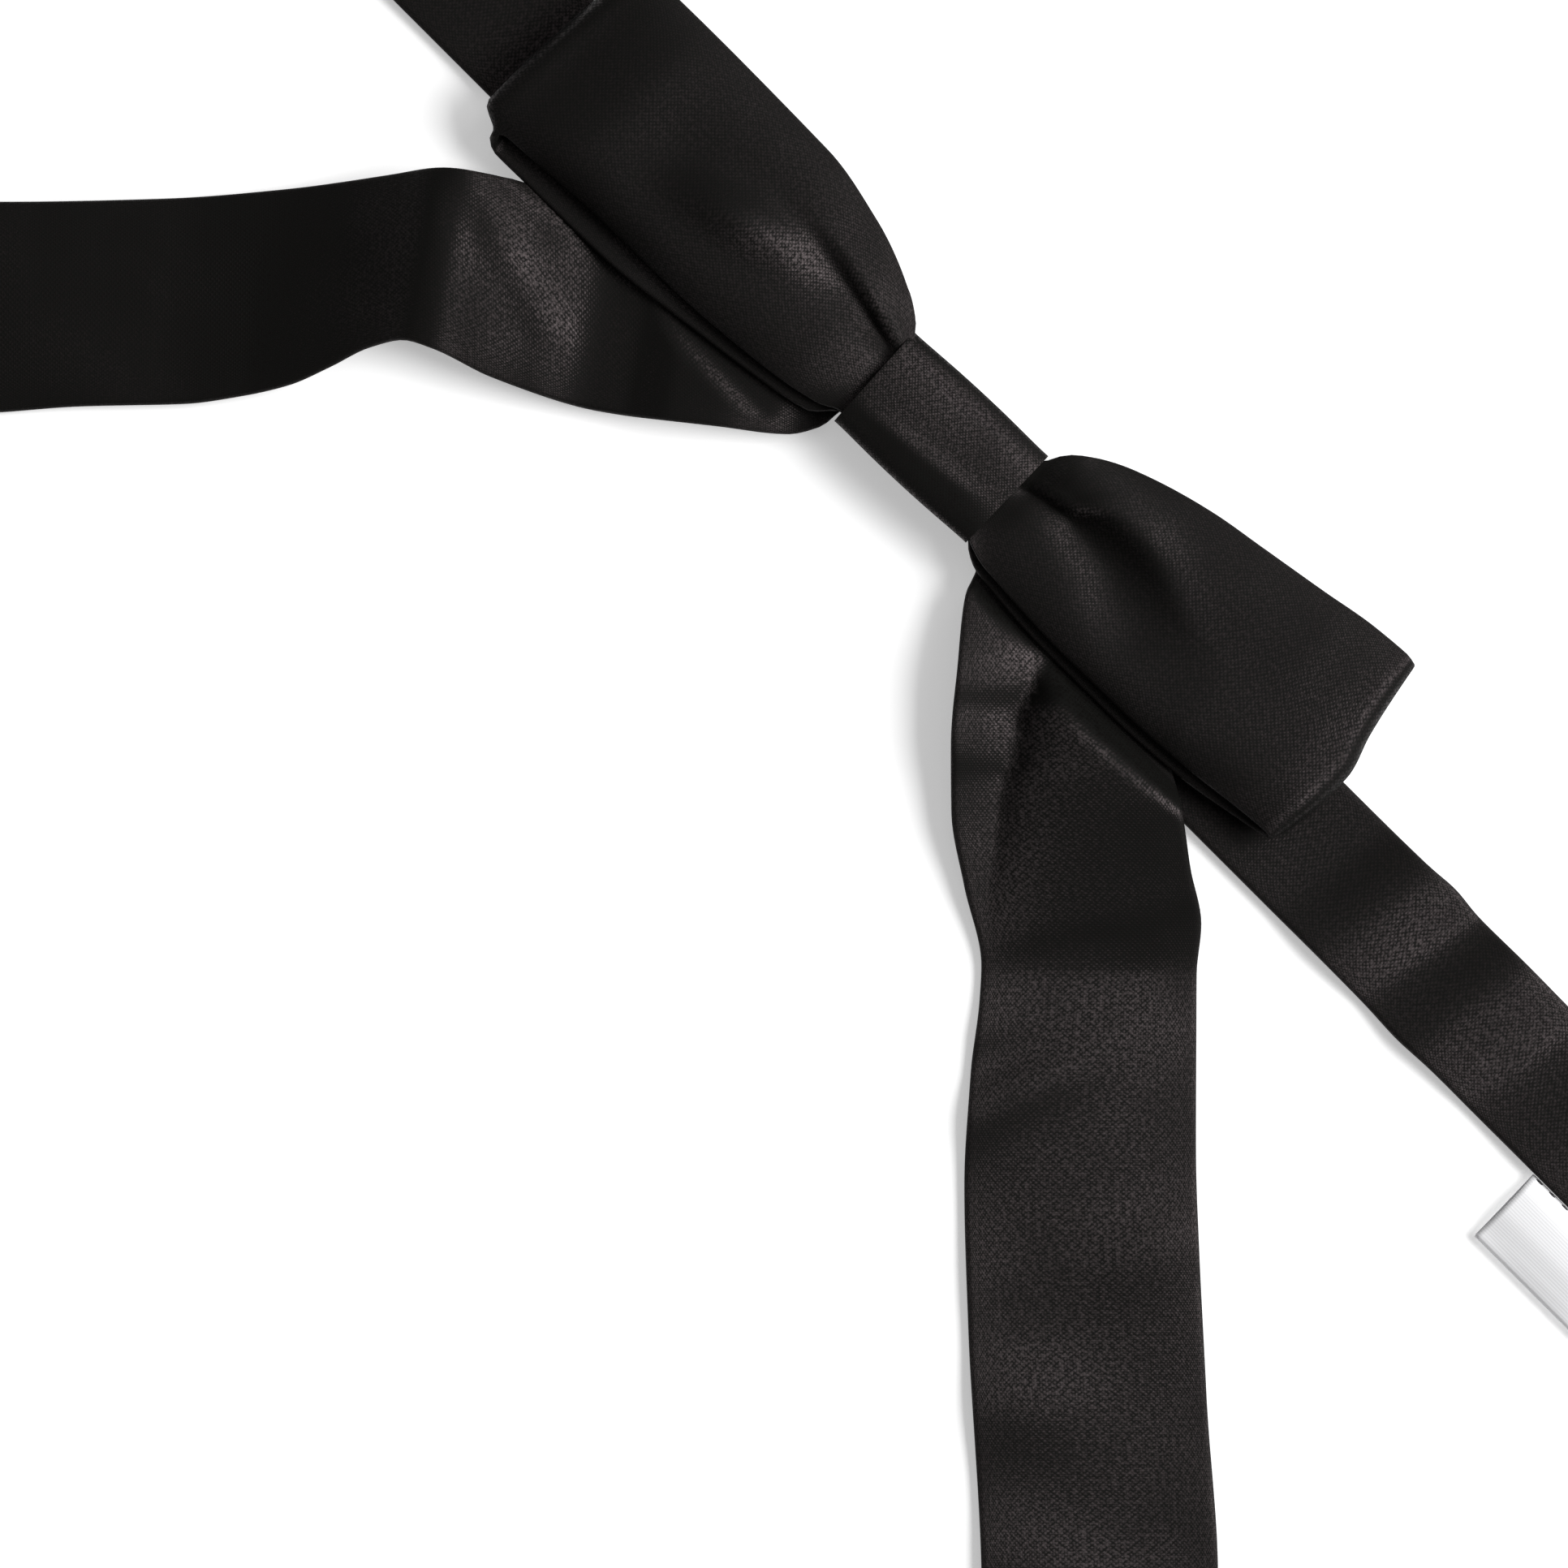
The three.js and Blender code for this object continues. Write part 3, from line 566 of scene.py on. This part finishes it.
def makeBow():
    width, length = bowLook["cut"]
    bow = casing("bowRibbon", bowSurface, length, width, bowLook["half"], bowLook["ply"], bowLook["steps"])
    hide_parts("bow_ribbon")
    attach(bow, "knot")
    lining = flatStrip("bowInterlining", partOf(bowSurface, (0.006, 0.994), (0.04, 0.96)), length - 4,
                       width - 3, 0.2, (220, 26), canvas)
    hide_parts("bow_interlining")
    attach(lining, "knot")


makeBow()
print("bow made")

# knot: a strip of satin folded in three and wrapped once round everything

knotLook = {"half": 11.15, "high": 8.75, "halfWidth": 7.25, "bulge": 0.35, "ply": 0.7, "steps": (40, 96),
            "weave": (22.0, 46.0),
            "tilt": 2.2}  # degrees that the knot sits turned on the row


def knotSurface(s, t):
    along = mix(-knotLook["half"], knotLook["half"], s)
    angle = 2 * math.pi * alongCurve(knotSpacing, t)
    away = abs(along) / knotLook["half"]
    halfWidth = knotLook["halfWidth"] + knotLook["bulge"] * (1 - away ** 2) + 0.12 * away ** 8
    half = knotLook["high"] / 2
    c, si = math.cos(angle), math.sin(angle)
    shape = 0.62 if si > 0 else 0.25  # a softer shoulder at the front than at the back
    y = halfWidth * math.copysign(min(1.09 * abs(c) ** (0.62 if si > 0 else 0.5), 1), c)
    z = half + half * math.copysign(abs(si) ** shape, si)
    if si > 0:
        z += 0.25 * (1 - away ** 2) - 0.15 * away ** 6 + ruffle(along, y, 9, 0.16, 2.2) - 0.09 * y * si
        z += 0.22 * hump(y - 0.08 * along, -3.2, 1.3) * (1 - away ** 2)
    z = max(z, 0.02)
    lean = 0.035 * (y + 0.5) * (-1 if along < 0 else 1) * away
    tilt = math.radians(knotLook["tilt"])
    return underCamera(Vector((along * math.cos(tilt) - y * math.sin(tilt) + lean * 0.4,
                               along * math.sin(tilt) + y * math.cos(tilt), z)))


# share of the way round the knot against share of the angle, so that the weave isn't stretched
knotSpacing = [(0, 0), (1, 1)]
ringSteps = 180
ring = [knotSurface(0.5, k / ringSteps) for k in range(ringSteps + 1)]
gaps = [(b - a).length for a, b in zip(ring, ring[1:])]
knotSpacing = [(sum(gaps[:k]) / sum(gaps), k / ringSteps) for k in range(0, ringSteps + 1, 2)]


def makeKnot():
    bm = gridOf(*knotLook["steps"])
    weaveMap(bm, *knotLook["weave"])
    turnWeave(bm)
    for vert in bm.verts:
        vert.co = knotSurface(vert.co.x, vert.co.y) * mm
    bmesh.ops.remove_doubles(bm, verts=bm.verts, dist=1e-6)
    bmesh.ops.recalc_face_normals(bm, faces=bm.faces)
    knot = keep(bm, "knotWrap", blackSatin)
    wall = knot.modifiers.new("foldedStrip", "SOLIDIFY")
    wall.thickness = knotLook["ply"] * mm
    wall.offset = -1
    edge = knot.modifiers.new("foldedEdge", "BEVEL")
    edge.width = 0.28 * mm
    edge.segments = 3
    edge.limit_method = "ANGLE"
    edge.angle_limit = math.radians(60)
    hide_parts("knot_wrap")
    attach(knot, "knot")
    # slip stitches close the seam down the back
    seam = [(Vector((x, 3.75, 0.02)), Vector((x + 1.1, 4.65, 0.02))) for x in range(-10, 10, 2)]
    tilt = Matrix.Rotation(math.radians(knotLook["tilt"]), 3, "Z")
    thread = stitches("knotSeamThread", [(tilt @ a, tilt @ b) for a, b in seam], 0.2)
    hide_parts("knot_seam_thread")
    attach(thread, "knot")


makeKnot()
print("knot made")

# neck band: a narrower interlined tube that passes through the knot and folds back at each side;
# on the left it thins to a strap that is looped through the eye and sewn down

bandLook = {"width": 17.5, "half": 0.62, "strapHalf": 0.36, "ply": 0.2, "leftY": -0.85, "rightY": -3.7,
            "pinch": 5.9, "rest": 0.74, "inKnot": 1.85}
eyeLook = {"bar": 158.0, "barRise": 1.8, "turn": 1.4, "sewnEnd": 146.0, "sewnRise": 2.2}

bandStart = [(0.4, bandLook["inKnot"], bandLook["half"]), (10.5, bandLook["inKnot"], bandLook["half"]),
             (14, 1.6, bandLook["half"]), (20, bandLook["rest"], bandLook["half"])]
leftLength, leftLine = pathOf(
    bandStart
    + [(60, bandLook["rest"], 0.62), (100, bandLook["rest"], 0.62), (146, bandLook["rest"], 0.62),
       (149, 0.66, 0.6), (150.4, 0.55, 0.4), (154, 0.42, 0.36)]
    + [(x, z, 0.36) for x, z in arcOf(eyeLook["bar"], eyeLook["barRise"], eyeLook["turn"], -90, 90)]
    + [(154, 2.87, 0.36), (150, 2.26, 0.36), (eyeLook["sewnEnd"], eyeLook["sewnRise"], 0.36)])
rightLength, rightLine = pathOf(
    bandStart
    + [(60, bandLook["rest"], 0.62), (100, bandLook["rest"], 0.62), (146, bandLook["rest"], 0.62)])
# ripples left in the right side, (distance from the knot, height)
bandRipple = [(60, 0), (71, 0.3), (79, 1.5), (83, 1.0), (87.5, 0.1), (95.5, 1.4), (101, 0.8), (106, 0.05),
              (117, 0.75), (128, 0.1), (138, 0)]


def bandSurface(side, line):
    middle = bandLook["leftY"] if side < 0 else bandLook["rightY"]

    def surface(s, t):
        x, z = line(s)[:2]
        spread = smoothStep(10.5, 21, x)
        half = mix(bandLook["pinch"], bandLook["width"] / 2, spread)
        y = middle * spread + mix(-half, half, t)
        q = 2 * t - 1
        loose = smoothStep(22, 40, x) * (1 - smoothStep(120, 140, x))
        if side > 0:
            z += alongCurve(bandRipple, x - 2.5 * (t - 0.5)) * mix(0.55, 1.1, t)
            y += 0.35 * hump(x, 84, 3.0) * t - 0.3 * hump(x, 92, 4.0) * (1 - t)
        z += 0.28 * loose * (1 + ruffle(x, y, 20, 1.0, 5.5 + side)) * (1 - 0.4 * q * q)
        return Vector((side * x, y, z))

    return surface


def strapSurface(side, line):
    middle = bandLook["leftY"] if side < 0 else bandLook["rightY"]
    half = bandLook["width"] / 2

    def surface(s, t):
        x, z = line(s)[:2]
        return Vector((side * x, middle + mix(-half, half, t), z))

    return surface


def makeBand():
    width = bandLook["width"]
    for side, name, body, length, line in ((-1, "Left", "band_left_end", leftLength, leftLine),
                                           (1, "Right", "band_right_end", rightLength, rightLine)):
        node = "band_" + name.lower()
        surface = bandSurface(side, line)
        band = casing("band" + name, surface, length, width, lambda s, line=line: line(s)[2],
                      bandLook["ply"], (190, 56), shut=(0, 1))
        lining = flatStrip("band" + name + "Interlining",
                           partOf(surface, (0.01, 144 / length), (0.06, 0.94)),
                           143, width - 2.2, 0.2, (110, 14), canvas)
        for piece, end in ((band, ""), (lining, "_interlining")):
            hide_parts(node + end, "band_centre" + end)
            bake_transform(piece)
    tack = stitches("eyeTack", zigzag(Vector((-148, bandLook["leftY"], 2.62)), 1.0, 5.3, 26), 0.18)
    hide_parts("eye_tack")
    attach(tack, "band_left_end")


makeBand()
print("band made")

# adjuster: a thin strap runs out under the slider, round the hook's bar and back to the slider

adjusterLook = {"run": 1.7, "back": 2.8, "hookBar": 262.0, "hookRise": 2.25, "turn": 1.4,
                "slider": 212.0, "sliderRise": 4.2, "sewnEnd": 221.0, "sewnRise": 3.9}


def strapPiece(name, nodes, points, shut=(0, 0), steps=(60, 48)):
    length, line = pathOf(points)
    strap = casing(name, strapSurface(1, line), length, bandLook["width"], bandLook["strapHalf"],
                   bandLook["ply"], steps, shut=shut)
    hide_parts(*nodes)
    return strap


def makeAdjuster():
    look = adjusterLook
    run = strapPiece("adjusterRun", ["adjuster_run"], [
        (145.2, 0.74), (147.5, 0.8), (151.3, 1.4), (156.3, 1.7), (180, 1.7), (220, 1.7), (253.9, 1.7)],
        steps=(120, 48))
    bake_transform(run)
    fold = strapPiece("strapFold", ["strap_fold"], [
        (253.7, look["run"]), (255.5, 1.6), (259.3, 0.9),
        *arcOf(look["hookBar"], look["hookRise"], look["turn"], -90, 90),
        (259.3, 3.4), (256.7, 2.85), (253.7, look["back"])])
    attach(fold, "strap_end")
    back = strapPiece("returnRun", ["return_run"], [(221.2, 2.8), (237, 2.8), (253.9, 2.8)])
    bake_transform(back)
    loop = strapPiece("sliderLoop", ["slider_loop"], [
        (221.4, look["back"]), (215, look["back"]),
        *arcOf(look["slider"], look["sliderRise"], look["turn"], -90, -270),
        (215, 5.03), (218, 4.05), (look["sewnEnd"], look["sewnRise"])], shut=(0, 1))
    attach(loop, "slider")
    tack = stitches("sliderTack", zigzag(Vector((219.2, bandLook["rightY"], 4.34)), 0.9, 5.3, 26), 0.18)
    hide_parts("slider_tack")
    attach(tack, "slider")


makeAdjuster()

# clasp: pressed plates with tumbled edges


def makeMetal(name, node, body):
    bm = bmesh.new()
    bm.from_mesh(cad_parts[node].data)
    bmesh.ops.remove_doubles(bm, verts=bm.verts, dist=2e-6)
    bmesh.ops.dissolve_limit(bm, angle_limit=math.radians(1), verts=bm.verts, edges=bm.edges)
    for face in bm.faces:
        face.smooth = False
    sharp = [e for e in bm.edges if e.is_manifold and e.calc_face_angle(0) > math.radians(35)]
    made = bmesh.ops.bevel(bm, geom=sharp, offset=0.22 * mm, segments=3, profile=0.5, material=-1,
                           affect="EDGES", clamp_overlap=True)
    for face in made["faces"]:
        face.smooth = True
    bmesh.ops.recalc_face_normals(bm, faces=bm.faces)
    mesh = bpy.data.meshes.new(name)
    bm.to_mesh(mesh)
    bm.free()
    mesh.materials.append(nickel)
    plate = bpy.data.objects.new(name, mesh)
    scene.collection.objects.link(plate)
    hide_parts(node)
    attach(plate, body)


makeMetal("eyePlate", "eye_plate", "eye")
makeMetal("sliderFrame", "slider_frame", "slider")
makeMetal("hookPlate", "hook_plate", "hook")
for side in ("left", "right"):
    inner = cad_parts["centre_tack_" + side]
    for place in inner.material_slots:
        place.material = sewingThread
print("adjuster and clasp made")

# care label: a loop of blank white tape, caught in the band's lower seam

labelLook = {"start": 115.7, "width": 20.0, "reach": 23.0, "tape": 0.22}


def makeLabel():
    look = labelLook
    length, line = pathOf([
        (-12.55, 0.45), (-13.8, 0.34), (-18, 0.2),
        *arcOf(-look["reach"] + 0.5, 0.68, 0.48, -90, -270),
        (-look["reach"] + 1.2, 1.2), (-18, 1.75), (-15, 1.6), (-13.8, 1.3), (-12.55, 0.95)])

    def surface(s, t):
        y, z = line(s)
        bulge = 0.35 * math.sin(math.pi * t) * smoothStep(0.5, 0.6, s) * (1 - smoothStep(0.85, 1, s))
        return Vector((look["start"] + look["width"] * t + 0.25 * math.sin(3 * s), y, z + bulge))

    label = flatStrip("careLabel", surface, length, look["width"], look["tape"], (80, 30), labelTape)
    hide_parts("care_label")
    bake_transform(label)
    row = [(Vector((x, -12.75, 1.0)), Vector((x + 1.5, -12.75, 1.0)))
           for x in (look["start"] + 0.4 + 2.2 * k for k in range(9))]
    thread = stitches("labelStitches", row, 0.17)
    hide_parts("label_stitches")
    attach(thread, "band_right_end")


makeLabel()
print("label made")

# tails: wide unstiffened tubes of satin, gathered where they leave the knot

tailLook = {"width": 28.0, "start": 7, "length": 240.0, "half": 0.36, "ply": 0.22, "rise": 3.4, "hem": 8,
            "underWing": 3.55,  # the highest that a tail can lie under a wing
            "beyondWing": 7}  # how much higher it may rise past the wing's edge

# (distance from the knot, edge) in each tail's own direction; near is the edge beside the band.
# rise is the height along it, measured from a line that slants across the tail; beyond the crease the
# right tail swells up by its bulge, and underWing is where each tail comes out from under its wing
rightTail = {
    "turn": -45, "flip": 1, "slant": 0.242, "slantFrom": 5, "underWing": (-9.5, -15.5),
    "near": [(7, 12.5), (12, 17.6), (20, 20.5), (30, 24.5), (40, 27.8), (47, 29.3), (53, 30.3), (60, 31.8),
             (66, 31.3), (86, 31.2), (118, 32.5), (140, 33.9), (180, 34.0), (240, 33.8)],
    "far": [(7, 4.6), (12, 5.2), (16, 4.6), (20, 3.0), (28, 2.1), (38, 1.3), (46, 1.4), (55, 3.0),
            (65, 5.2), (69, 5.0), (78, 3.9), (92, 3.1), (110, 3.6), (140, 5.2), (180, 5.6), (240, 5.8)],
    "rise": [(7, 3.4), (18, 3.8), (26, 4.0), (32, 3.8), (44, 2.8), (54, 1.85), (62, 1.0), (66.3, 0.5),
             (70, 0.43), (240, 0.42)],
    "crease": [(18, 12.6), (24, 12.4), (30, 11.8), (33.5, 9.9), (39, 9.2), (42, 8.0), (52, 6.6), (66, 5)],
    "bulge": [(7, 0), (14, 1.5), (22, 4.5), (29, 6.3), (34, 6.4), (44, 4.6), (52, 2.9), (60, 1.1), (66, 0)],
}
leftTail = {
    "turn": 225, "flip": -1, "slant": 0.16, "slantFrom": 22, "underWing": (-13.5, -19),
    "near": [(7, 12.5), (12, 17.6), (20, 21), (30, 25), (40, 28.4), (50, 30.5), (56, 31.7), (61, 32.3),
             (68, 31.6), (80, 30.3), (96, 29.2), (116, 28.8), (150, 29.2), (240, 29.4)],
    "far": [(7, 4.6), (12, 3.6), (15, 1.4), (19, 0.5), (27, 1.3), (42, 3.3), (55, 7.3), (62, 10.6),
            (66, 11.7), (70, 10.9), (75, 8.6), (80, 6.5), (86, 5.2), (93, 4.3), (106, 4.0), (116, 3.3),
            (150, 1.6), (240, 1.4)],
    "rise": [(7, 3.4), (13, 3.1), (19, 4.3), (24, 5.0), (30, 4.6), (36, 3.1), (40, 2.9), (48, 4.9),
             (57, 7.9), (61, 9.0), (63, 8.8), (67, 6.9), (74, 3.9), (84, 1.5), (95, 0.5), (240, 0.42)],
}


def tailSurface(tail, wrinkle):
    turn = math.radians(tail["turn"])
    alongWay = Vector((math.cos(turn), math.sin(turn), 0))
    acrossWay = Vector((-math.sin(turn), math.cos(turn), 0)) * tail["flip"]

    def surface(s, t):
        u = mix(tailLook["start"], tailLook["length"], s)
        near, far = alongCurve(tail["near"], u), alongCurve(tail["far"], u)
        v = mix(far, near, t)
        place = alongWay * u + acrossWay * v
        z = alongCurve(tail["rise"], u + tail["slant"] * (v - tail["slantFrom"])) + wrinkle(u, v, t)
        past = smoothStep(*[-y for y in tail["underWing"]], -place.y)
        z = min(z, tailLook["underWing"] + tailLook["beyondWing"] * past)
        lowest = tailLook["half"] + 0.03
        place.z = lowest + math.log1p(math.exp(6 * (z - lowest))) / 6  # rounds off where it meets the table
        return place

    return surface


def tuck(u, v, middleU, middleV, wideU, wideV, height):
    # one soft crease across the tail: down on the near side of its middle and up on the far side
    return height * (u - middleU) / wideU * hump(u, middleU, wideU) * hump(v, middleV, wideV)


def rightWrinkle(u, v, t):
    q = 2 * t - 1
    crease = v - alongCurve(rightTail["crease"], u)
    bulge = alongCurve(rightTail["bulge"], u)
    side = bulge * (1 - math.exp(-crease / 4.5)) if crease > 0 else 0.05 * bulge * -crease
    z = side - 0.9 * abs(q) ** 3 * hump(u, 18, 12)
    flat = smoothStep(66, 74, u)
    z += flat * (0.45 + ruffle(u, v, 17, 0.5, 4.4))
    z += tuck(u + 0.46 * (v - 5), v, 80, 8, 4.5, 10, 1.3) + tuck(u, v, 115, 9, 7, 9, 1.1)
    z += tuck(u + 0.3 * v, v, 104, 26, 6, 9, 0.9) + tuck(u - 0.3 * v, v, 133, 20, 8, 14, 1.0)
    return z + tuck(u, v, 165, 14, 9, 14, 0.9) + tuck(u + 0.4 * v, v, 205, 20, 9, 14, 0.9)


def leftWrinkle(u, v, t):
    q = 2 * t - 1
    z = -0.9 * abs(q) ** 3 * hump(u, 18, 12) - 1.6 * q * q * hump(u, 60, 12)
    z += 0.35 * hump(u - 0.5 * (v - 16), 50, 2.4) * smoothStep(8, 16, v)
    flat = smoothStep(84, 100, u)
    z += flat * (0.35 + ruffle(u, v, 18, 0.4, 1.7)) + 0.5 * smoothStep(0.25, 0, t) * hump(u, 92, 16)
    return z + tuck(u, v, 128, 20, 9, 12, 0.7) + tuck(u, v, 178, 12, 10, 12, 0.8)


def makeTails():
    for tail, name, body, wrinkle in ((leftTail, "Left", "left_tail", leftWrinkle),
                                      (rightTail, "Right", "right_tail", rightWrinkle)):
        node = "tail_" + name.lower()
        surface = tailSurface(tail, wrinkle)
        length = tailLook["length"] - tailLook["start"]
        piece = casing("tail" + name, surface, length, tailLook["width"], tailLook["half"], tailLook["ply"],
                       (260, 72), shut=(0, 1))
        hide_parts(node)
        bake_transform(piece)
        # a row of running stitches holds the hem
        hem = (length - tailLook["hem"]) / length
        row = []
        for k in range(9):
            ends = [surface(hem, f) + normalAt(surface, hem, f) * tail["flip"] * (tailLook["half"] + 0.05)
                    for f in (0.06 + 0.1 * k, 0.12 + 0.1 * k)]
            row.append(ends)
        thread = stitches(name.lower() + "HemThread", row, 0.16)
        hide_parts(node + "_hem_thread")
        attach(thread, body)


def makeTailMiddle():
    # the tails' ribbon, bunched into soft pleats where it passes through the knot
    def surface(s, t):
        x, y = mix(-8.4, 8.4, s), mix(-5.6, 5.6, t)
        return Vector((x, y, tailLook["rise"] + 0.12 * math.cos(y * 2.4)))

    middle = casing("tailMiddle", surface, 16.8, 11.2, tailLook["half"], tailLook["ply"], (30, 72))
    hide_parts("tail_middle")
    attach(middle, "knot")


makeTailMiddle()
makeTails()
print("tails made")
